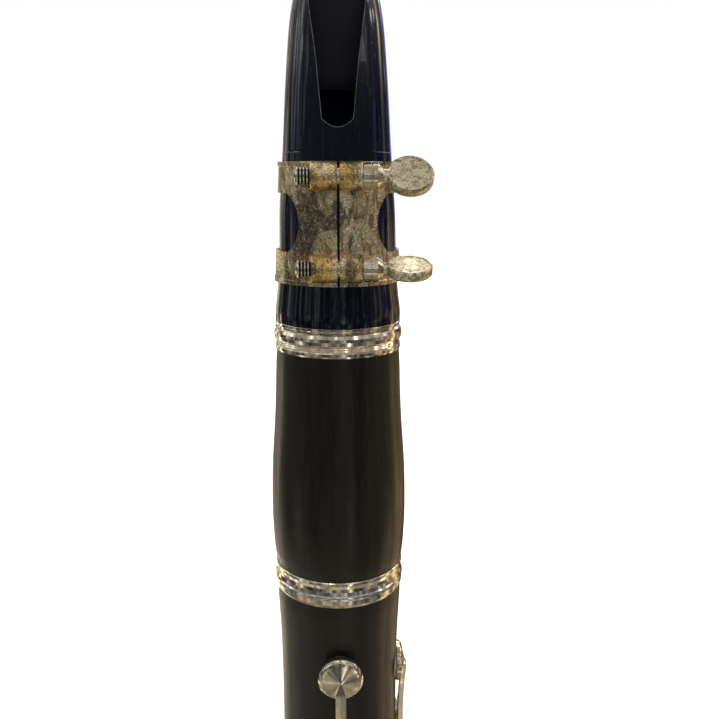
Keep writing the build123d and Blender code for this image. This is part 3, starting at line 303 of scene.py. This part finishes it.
def mat_pitted():
    """grey nickel plate, pitted all over, pits packed with grime"""
    m, g = new_mat("screw_pitted_plate")
    v = g.coords()
    big = g.noise(v, 150, 3, 0.5, 0.5)
    mid = g.noise(v, 800, 4, 0.65, 1.2)
    pv = g.voro(v, 1700)
    net = g.voro(v, 1500, "DISTANCE_TO_EDGE")
    pit = g.ramp(pv, [(0.0, 1.0), (0.24, 0.9), (0.50, 0.0), (1.0, 0.0)])
    pit = g.math("MULTIPLY", pit, g.rng(mid, 0.40, 0.56, 0.0, 1.0))
    sx = g.n("ShaderNodeSeparateXYZ")
    g.l(g.n("ShaderNodeTexCoord").outputs["Object"], sx.inputs[0])
    head = g.rng(sx.outputs["X"], 0.0096, 0.0101, 0.0, 1.0)     # shank and collar keep their plate
    pit = g.math("MULTIPLY", pit, g.rng(head, 0.0, 1.0, 0.15, 1.0))
    c = g.mix(g.rng(big, 0.40, 0.62, 0.0, 1.0), (0.86, 0.82, 0.70), (0.62, 0.57, 0.44))
    c = g.mix(g.math("MULTIPLY", g.rng(mid, 0.46, 0.58, 0.0, 0.80), g.rng(head, 0.0, 1.0, 0.35, 1.0)), c, (0.33, 0.28, 0.19))
    c = g.mix(g.math("MULTIPLY", pit, 0.55), c, (0.10, 0.088, 0.065))
    # painted shade in the thread grooves: darkened inside the crest radius of either screw
    hi = g.math("GREATER_THAN", sx.outputs["Z"], 0.62)
    dy = g.math("ADD", sx.outputs["Y"], g.math("SUBTRACT", 0.0162, g.math("MULTIPLY", hi, 0.00085)))
    dz = g.math("SUBTRACT", sx.outputs["Z"], g.math("ADD", 0.6111, g.math("MULTIPLY", hi, 0.0189)))
    rr = g.math("ADD", g.math("MULTIPLY", dy, dy), g.math("MULTIPLY", dz, dz))
    thread_groove_painted_shade = g.math("MULTIPLY", g.math("LESS_THAN", rr, 0.00183 ** 2), g.math("LESS_THAN", sx.outputs["X"], -0.0051))
    thread_groove_painted_shade = g.math("MULTIPLY", thread_groove_painted_shade, g.math("GREATER_THAN", sx.outputs["X"], -0.0088))
    c = g.mix(g.math("MULTIPLY", thread_groove_painted_shade, 0.93), c, (0.02, 0.017, 0.013))
    rough = g.math("ADD", g.rng(mid, 0.3, 0.7, 0.12, 0.22), g.math("MULTIPLY", pit, 0.2))
    rough = g.math("ADD", rough, g.math("MULTIPLY", head, 0.16))
    nrm = g.bump(g.math("MULTIPLY", net, g.rng(head, 0.0, 1.0, 0.2, 1.0)), 0.40, 0.00012)
    nrm = g.bump(g.math("SUBTRACT", 1.0, pit), 0.75, 0.00008, nrm)
    g.set(Base_Color=c, Roughness=rough, Normal=nrm, Metallic=g.rng(head, 0.0, 1.0, 1.0, 0.88))
    return m


def mat_cork():
    m, g = new_mat("tenon_cork")
    v = g.coords()
    cell = g.voro(v, 1100)
    big = g.noise(v, 260, 5, 0.7)
    c = g.ramp(big, [(0.3, (0.20, 0.11, 0.055)), (0.5, (0.42, 0.27, 0.15)), (0.7, (0.56, 0.40, 0.24))])
    c = g.mix(g.rng(cell, 0.0, 0.35, 0.5, 0.0), c, (0.13, 0.07, 0.035))
    nrm = g.bump(cell, 0.4, 0.00008, g.bump(big, 0.4, 0.0001))
    g.set(Base_Color=c, Roughness=g.rng(big, 0.3, 0.7, 0.55, 0.8), Normal=nrm)
    return m


def mat_pad():
    m, g = new_mat("pad_skin")
    v = g.coords()
    a = g.noise(v, 900, 4, 0.6)
    b = g.noise(v, 180, 3, 0.5)
    c = g.mix(g.rng(b, 0.35, 0.7, 0.0, 0.8), (0.62, 0.55, 0.42), (0.47, 0.38, 0.26))
    c = g.mix(g.rng(a, 0.6, 0.8, 0.0, 0.5), c, (0.30, 0.22, 0.14))
    g.set(Base_Color=c, Roughness=g.rng(a, 0.3, 0.7, 0.45, 0.62), Normal=g.bump(a, 0.3, 0.00006))
    g.bsdf.inputs["Sheen Weight"].default_value = 0.1
    return m


def mat_steel():
    m, g = new_mat("rod_steel")
    v = g.coords((1, 1, 0.1))
    a = g.noise(v, 1800, 4, 0.6)
    b = g.noise(g.coords(), 240, 3, 0.5)
    c = g.mix(g.rng(b, 0.4, 0.7, 0.0, 0.7), (0.50, 0.50, 0.50), (0.26, 0.24, 0.22))
    g.set(Base_Color=c, Roughness=g.rng(a, 0.3, 0.7, 0.22, 0.42), Normal=g.bump(a, 0.12, 0.00002), Metallic=1.0)
    return m


def mat_rubber():
    m, g = new_mat("bush_hard_rubber")
    v = g.coords()
    a = g.noise(v, 700, 4, 0.6)
    c = g.mix(a, (0.006, 0.006, 0.006), (0.018, 0.016, 0.014))
    g.set(Base_Color=c, Roughness=g.rng(a, 0.3, 0.7, 0.25, 0.45), Normal=g.bump(a, 0.15, 0.00003))
    return m


def mat_edge_painted_highlight():
    """grey ebonite edge colour, greyer than the polished face: a painted highlight on the edge beads"""
    m, g = new_mat("ebonite_edge_painted_highlight")
    v = g.coords()
    a = g.noise(v, 420, 4, 0.6)
    c = g.mix(g.rng(a, 0.35, 0.65, 0.0, 1.0), (0.07, 0.08, 0.10), (0.22, 0.24, 0.28))
    g.set(Base_Color=c, Roughness=g.rng(a, 0.3, 0.7, 0.25, 0.45), Normal=g.bump(a, 0.2, 0.00002))
    return m


M = {
    "edge": mat_edge_painted_highlight(), "ebonite": mat_ebonite(), "grenadilla": mat_wood(brown=0.7), "silver": mat_silver(), "tarnished": mat_tarnished(),
    "cork": mat_cork(), "pad": mat_pad(), "steel": mat_steel(), "hard_rubber": mat_rubber(),
    "screw": mat_pitted(),
    "wood_worn": mat_wood("grenadilla_worn", 0.0040, 0.34, 0.50, 0.25),
}
SLOT = {s["node"]: s["material_slot"] for s in frame["record"]["subparts"]}


def smooth_by_angle(ob, deg):
    bm = bmesh.new()
    bm.from_mesh(ob.data)
    for f in bm.faces:
        f.smooth = True
    lim = math.radians(deg)
    for e in bm.edges:
        e.smooth = not (len(e.link_faces) == 2 and e.calc_face_angle(0) > lim)
    bm.to_mesh(ob.data)
    bm.free()


for name, ob in NODES.items():
    s = SLOT[name]
    mat = M["screw"] if name.startswith("ligature_screw") else M["wood_worn"] if name == "upper_body" else M[s]
    ob.data.materials.clear()
    ob.data.materials.append(mat)


# ------------------------------------------------------------ eased edge round the mouthpiece window, its grey colour a painted highlight
def table_y(z):
    pts = [(615.0, -9.95), (634.0, -9.6), (653.0, -9.15), (664.0, -8.75), (675.0, -7.75)]
    for (a, ya), (b, yb) in zip(pts[:-1], pts[1:]):
        if z <= b:
            return ya + (yb - ya) * (z - a) / (b - a)
    return pts[-1][1]


def bead(name, pts, rad, mat, body, seg=8):
    """thin round bead along a polyline, in millimetres"""
    bm = bmesh.new()
    rings = []
    n = len(pts)
    for i, p in enumerate(pts):
        t = (Vector(pts[min(i + 1, n - 1)]) - Vector(pts[max(i - 1, 0)])).normalized()
        u = t.cross(Vector((0, 1, 0))).normalized()
        w = t.cross(u).normalized()
        rr = rad * (0.35 if i in (0, n - 1) else 1.0)
        rings.append([bm.verts.new((Vector(p) + (u * math.cos(a) + w * math.sin(a)) * rr) / 1000)
                      for a in (2 * math.pi * k / seg for k in range(seg))])
    for a, b in zip(rings[:-1], rings[1:]):
        for k in range(seg):
            bm.faces.new((a[k], a[(k + 1) % seg], b[(k + 1) % seg], b[k]))
    bm.faces.new(rings[0][::-1])
    bm.faces.new(rings[-1])
    bmesh.ops.recalc_face_normals(bm, faces=bm.faces)
    me = bpy.data.meshes.new(name)
    bm.to_mesh(me)
    bm.free()
    for p in me.polygons:
        p.use_smooth = True
    me.materials.append(mat)
    ob = bpy.data.objects.new(name, me)
    scene.collection.objects.link(ob)
    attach(ob, body)
    return ob


def lerp(pts, z):
    for (a, va), (b, vb) in zip(pts[:-1], pts[1:]):
        if z <= b:
            return va + (vb - va) * (z - a) / (b - a)
    return pts[-1][1]


HALF = [(641.6, 3.3), (653.2, 4.36), (664.8, 5.85), (672.6, 6.0)]
OUTER = [(622.0, 13.0), (629.0, 12.5), (636.5, 11.95), (647.0, 11.32), (656.5, 10.6), (661.6, 10.1), (666.3, 9.3), (670.2, 8.2), (674.0, 6.9)]


def skin_y(x, z):
    """front surface of the mouthpiece: flat table or the round flank beside it"""
    return -min(-table_y(z), math.sqrt(max(lerp(OUTER, z) ** 2 - x * x, 0.01)))


win_pts = []
for k in range(33):                                    # right side from the tip down
    z = 669.6 - (669.6 - 641.7) * k / 32
    win_pts.append((lerp(HALF, z) + 0.03, z))
for k in range(1, 16):                                 # round the foot
    a = k / 16.0
    xx = 3.3 - 6.6 * a
    win_pts.append((xx, 641.7 - 1.7 * (1 - (xx / 3.3) ** 2) - 0.03))
for k in range(33):
    z = 641.7 + (669.6 - 641.7) * k / 32
    win_pts.append((-lerp(HALF, z) - 0.03, z))
bead("window_edge", [(x, skin_y(x, z) + 0.01, z) for x, z in win_pts], 0.085, M["edge"], "mouthpiece")
# lower lip of the engraved guide line, a grey bead whose colour is a painted highlight
GR = lerp(OUTER, 635.0) + 0.02
for tag, p0, p1 in (("left", -88, -41), ("right", 40, 88)):
    arc = [(GR * math.sin(math.radians(p0 + (p1 - p0) * k / 20)), -GR * math.cos(math.radians(p0 + (p1 - p0) * k / 20)), 634.95) for k in range(21)]
    bead("guide_line_" + tag, arc, 0.07, M["edge"], "mouthpiece")


# ------------------------------------------------------------ stage, light, camera
def add_mesh(name, verts, faces, mat):
    me = bpy.data.meshes.new(name)
    me.from_pydata(verts, [], faces)
    me.materials.append(mat)
    ob = bpy.data.objects.new(name, me)
    scene.collection.objects.link(ob)
    return ob


fm, fg = new_mat("floor_pale")
fn = fg.noise(fg.coords(), 6, 2, 0.5)
fg.set(Base_Color=fg.mix(fn, (0.60, 0.60, 0.595), (0.62, 0.62, 0.62)), Roughness=0.9)
fg.bsdf.inputs["Specular IOR Level"].default_value = 0.1
fg.bsdf.inputs["Emission Color"].default_value = (1, 1, 1, 1)
flen = fg.n("ShaderNodeVectorMath", operation="LENGTH")
fg.l(fg.coords(), flen.inputs[0])
fg.set(Emission_Strength=fg.rng(flen.outputs["Value"], 0.12, 1.1, 0.55, 1.0))
floor = add_mesh("floor", [(-6, -6, 0), (6, -6, 0), (6, 6, 0), (-6, 6, 0)], [(0, 1, 2, 3)], fm)
floor.visible_glossy = False
floor.visible_diffuse = False

ENV = 1.0
SIDE = [(-180, (1.6, 1.6, 1.5)), (-150, (1.5, 1.45, 1.3)), (-128, (1.0, 0.95, 0.80)), (-121, (0.42, 0.39, 0.33)), (-112, (0.44, 0.44, 0.42)),
        (-98, (0.52, 0.56, 0.64)), (-84, (0.40, 0.39, 0.36)), (-72, (0.20, 0.20, 0.20)), (-40, (0.21, 0.212, 0.215)), (-10, (0.25, 0.25, 0.252)),
        (20, (0.24, 0.24, 0.24)), (50, (0.20, 0.20, 0.21)), (72, (0.22, 0.21, 0.20)), (86, (0.34, 0.29, 0.24)),
        (91, (0.40, 0.33, 0.23)), (108, (0.44, 0.36, 0.25)), (112, (0.16, 0.14, 0.11)), (117, (0.80, 0.66, 0.42)), (122, (0.80, 0.66, 0.42)), (128, (0.22, 0.18, 0.12)),
        (145, (0.60, 0.44, 0.27)), (156, (0.55, 0.42, 0.29)), (168, (1.2, 1.15, 1.05)), (180, (1.6, 1.6, 1.5))]
# the same room above eye level: bluish and dim in front, violet and blue lamps at the right
HIGH = [(-180, (1.0, 1.0, 1.0)), (-150, (0.55, 0.55, 0.52)), (-132, (1.1, 1.0, 0.80)), (-124, (0.25, 0.25, 0.25)), (-112, (0.45, 0.48, 0.56)),
        (-98, (0.50, 0.56, 0.70)), (-84, (0.30, 0.31, 0.34)), (-72, (0.20, 0.21, 0.25)), (-40, (0.20, 0.22, 0.28)), (0, (0.22, 0.24, 0.30)),
        (45, (0.20, 0.22, 0.28)), (70, (0.20, 0.20, 0.26)), (86, (0.30, 0.28, 0.34)), (96, (0.20, 0.17, 0.75)),
        (104, (0.18, 0.15, 0.60)), (110, (0.12, 0.12, 0.22)), (122, (0.9, 0.76, 0.56)), (132, (0.16, 0.16, 0.20)),
        (148, (0.35, 0.33, 0.34)), (160, (0.20, 0.42, 1.9)), (170, (0.30, 0.60, 2.2)), (180, (1.0, 1.0, 1.0))]
world = bpy.data.worlds.new("studio")
scene.world = world
world.use_nodes = True
wt = world.node_tree
wt.nodes.clear()


def wn(kind, **kw):
    x = wt.nodes.new(kind)
    for k, v in kw.items():
        setattr(x, k, v)
    return x


def wl(a, b):
    wt.links.new(a, b)


def wmath(op, a, b=None):
    x = wn("ShaderNodeMath", operation=op)
    for sock, v in ((x.inputs[0], a), (x.inputs[1], b)):
        if v is None:
            continue
        if hasattr(v, "is_linked"):
            wl(v, sock)
        else:
            sock.default_value = v
    return x.outputs[0]


def wramp(fac, stops, interp="LINEAR"):
    x = wn("ShaderNodeValToRGB")
    x.color_ramp.interpolation = interp
    e = x.color_ramp.elements
    while len(e) < len(stops):
        e.new(0.5)
    for k, (p, c) in enumerate(stops):
        e[k].position = p
        e[k].color = (c, c, c, 1) if not hasattr(c, "__len__") else (*c, 1)
    wl(fac, x.inputs["Fac"])
    return x.outputs["Color"]


def wvec(op, a, b):
    x = wn("ShaderNodeVectorMath", operation=op)
    wl(a, x.inputs[0])
    if op == "SCALE":
        wl(b, x.inputs["Scale"])
    else:
        wl(b, x.inputs[1])
    return x.outputs[0]


out = wn("ShaderNodeOutputWorld")
mixs = wn("ShaderNodeMixShader")
lp = wn("ShaderNodeLightPath")
bg_cam = wn("ShaderNodeBackground")
bg_cam.inputs[0].default_value = (1, 1, 1, 1)
bg_cam.inputs[1].default_value = 1.02
bg_env = wn("ShaderNodeBackground")
bg_env.inputs[1].default_value = ENV
tc = wn("ShaderNodeTexCoord")
sep = wn("ShaderNodeSeparateXYZ")
wl(tc.outputs["Generated"], sep.inputs[0])
# compass bearing round the instrument: 0 = thumb side, positive towards +X
az = wmath("ARCTAN2", sep.outputs["X"], wmath("MULTIPLY", sep.outputs["Y"], -1.0))
az01 = wmath("ADD", wmath("DIVIDE", az, 2 * math.pi), 0.5)


def deg(a):
    return (a + 180.0) / 360.0


# walls of the room by bearing: bright behind, dim in front, narrow window and lamp strips at the sides
side_low = wramp(az01, [(deg(a), c) for a, c in SIDE])
side_high = wramp(az01, [(deg(a), c) for a, c in HIGH])
up_fac = wn("ShaderNodeMapRange")
wl(sep.outputs["Z"], up_fac.inputs[0])
up_fac.inputs[1].default_value, up_fac.inputs[2].default_value = -0.10, 0.04
top_fac = wn("ShaderNodeMapRange")
wl(sep.outputs["Z"], top_fac.inputs[0])
for k_, v_ in ((1, 0.34), (2, 0.50), (3, 1.0), (4, 0.0)):
    top_fac.inputs[k_].default_value = v_
smix = wn("ShaderNodeMix", data_type="RGBA")
wl(wmath("MULTIPLY", up_fac.outputs[0], top_fac.outputs[0]), smix.inputs[0])
wl(side_low, smix.inputs[6])
wl(side_high, smix.inputs[7])
side = smix.outputs[2]
# clutter: soft blotches plus narrow upright strips
mp = wn("ShaderNodeMapping")
mp.inputs["Scale"].default_value = (1.0, 1.0, 0.7)
wl(tc.outputs["Generated"], mp.inputs["Vector"])
nz = wn("ShaderNodeTexNoise")
nz.inputs["Scale"].default_value = 4.2
nz.inputs["Detail"].default_value = 5.0
nz.inputs["Roughness"].default_value = 0.62
wl(mp.outputs["Vector"], nz.inputs["Vector"])
blot = wramp(nz.outputs["Fac"], [(0.30, (0.04, 0.045, 0.055)), (0.45, (0.22, 0.225, 0.24)), (0.53, (0.75, 0.70, 0.62)), (0.60, (2.2, 1.95, 1.5)), (0.68, (5.5, 4.9, 3.8))])
comb = wn("ShaderNodeCombineXYZ")
wl(wmath("MULTIPLY", az, 9.0), comb.inputs[0])
wl(wmath("MULTIPLY", sep.outputs["Z"], 0.8), comb.inputs[1])
nz2 = wn("ShaderNodeTexNoise")
nz2.inputs["Scale"].default_value = 1.0
nz2.inputs["Detail"].default_value = 3.0
nz2.inputs["Roughness"].default_value = 0.7
wl(comb.outputs[0], nz2.inputs["Vector"])
strip = wramp(nz2.outputs["Fac"], [(0.32, 0.15), (0.48, 0.6), (0.58, 1.6), (0.68, 3.4)])
zz = wmath("ADD", wmath("MULTIPLY", sep.outputs["Z"], 0.5), 0.5)
elev = wramp(zz, [(0.0, 0.10), (0.10, 0.40), (0.21, 1.5), (0.33, 1.0), (0.42, 0.9), (0.62, 1.0), (0.74, 1.3), (1.0, 1.0)])
room = wvec("MULTIPLY", side, blot)
room = wvec("MULTIPLY", room, strip)
room = wvec("MULTIPLY", room, elev)
# ceiling lamps: round warm dots above
vor = wn("ShaderNodeTexVoronoi")
vor.inputs["Scale"].default_value = 4.5
wl(tc.outputs["Generated"], vor.inputs["Vector"])
dots = wramp(vor.outputs["Distance"], [(0.0, (9.0, 8.2, 6.6)), (0.13, (8.0, 7.2, 5.8)), (0.19, (0.45, 0.42, 0.36)), (0.5, (0.20, 0.19, 0.17))])
above = wramp(zz, [(0.0, 0.0), (0.57, 0.0), (0.68, 1.0), (1.0, 1.0)])
ceil = wvec("MULTIPLY", dots, above)
# warm counter top below, broken by the same clutter
low_c = wramp(nz.outputs["Fac"], [(0.34, (0.10, 0.085, 0.055)), (0.46, (0.26, 0.215, 0.135)), (0.56, (0.42, 0.36, 0.24)), (0.64, (0.80, 0.70, 0.50))])
low_f = wramp(zz, [(0.0, 1.0), (0.18, 1.0), (0.245, 0.0), (1.0, 0.0)])
low = wvec("MULTIPLY", low_c, low_f)
ceil_low = wn("ShaderNodeVectorMath", operation="ADD")
wl(ceil, ceil_low.inputs[0])
wl(low, ceil_low.inputs[1])
ceil = ceil_low.outputs[0]
tot = wn("ShaderNodeVectorMath", operation="ADD")
wl(room, tot.inputs[0])
wl(ceil, tot.inputs[1])
wl(tot.outputs[0], bg_env.inputs[0])
wl(lp.outputs["Is Camera Ray"], mixs.inputs[0])
wl(bg_env.outputs[0], mixs.inputs[1])
wl(bg_cam.outputs[0], mixs.inputs[2])
wl(mixs.outputs[0], out.inputs[0])
scene.view_settings.view_transform = "Standard"
scene.view_settings.look = "None"


def area(name, loc, target, size, size_y, power, color):
    ld = bpy.data.lights.new(name, "AREA")
    ld.shape = "RECTANGLE"
    ld.size, ld.size_y = size, size_y
    ld.energy = power
    ld.color = color
    ob = bpy.data.objects.new(name, ld)
    ob.location = loc
    ob.rotation_euler = (Vector(target) - Vector(loc)).to_track_quat("-Z", "Y").to_euler()
    scene.collection.objects.link(ob)
    return ob


area("key_right", (0.95, 0.10, 0.75), (0, 0, 0.45), 0.42, 1.3, 2.4, (1.0, 0.86, 0.66))
area("key_left", (-0.85, 0.45, 0.75), (0, 0, 0.45), 0.20, 1.3, 1.5, (1.0, 0.97, 0.90))
area("top_soft", (0.1, -0.35, 1.6), (0, 0, 0.4), 0.8, 0.6, 3, (1.0, 0.97, 0.92))
for ob_ in [o for o in scene.objects if o.type == "LIGHT"]:
    ob_.visible_glossy = False

PHI0 = math.radians(2.4)
F_PX, PITCH, D_MM, ZC, X0, ROLL = 793.7, 13.08, 181.9, 598.0 + 32.2, 5.05, 0.08
c0, s0 = math.cos(PHI0), math.sin(PHI0)
cx, cy = X0 / 1000, -D_MM / 1000
cam_d = bpy.data.cameras.new("photo_camera")
cam_d.sensor_width = 36.0
cam_d.lens = F_PX / 719.0 * 36.0
cam_d.clip_start = 0.01
cam_d.clip_end = 50
cam = bpy.data.objects.new("photo_camera", cam_d)
cam.location = (cx * c0 + cy * s0, -cx * s0 + cy * c0, ZC / 1000)
rot = Matrix.Rotation(-PHI0, 4, "Z") @ Matrix.Rotation(math.radians(90 - PITCH), 4, "X") @ Matrix.Rotation(math.radians(ROLL), 4, "Z")
cam.rotation_euler = rot.to_euler()
scene.collection.objects.link(cam)
scene.camera = cam

for name, ob in NODES.items():
    for p in ob.data.polygons:
        p.use_smooth = True

BEVEL = {"silver": 0.14, "tarnished": 0.12, "steel": 0.08}
if not NOBEVEL:
    for name, ob in NODES.items():
        w = BEVEL.get(SLOT[name])
        if not w or name in ("barrel_rings", "bell_rings", "lower_socket_ring", "ligature_screw_upper", "ligature_screw_lower"):
            continue
        wd = ob.modifiers.new("join", "WELD")
        wd.merge_threshold = 0.000002
        bv = ob.modifiers.new("worn_edges", "BEVEL")
        bv.width = w / 1000
        bv.segments = 2
        bv.limit_method = "ANGLE"
        bv.angle_limit = math.radians(34)
        bv.use_clamp_overlap = True
        bv.miter_outer = "MITER_ARC"
        wnm = ob.modifiers.new("even_normals", "WEIGHTED_NORMAL")
        wnm.mode = "FACE_AREA"
        wnm.weight = 50
        wnm.keep_sharp = False
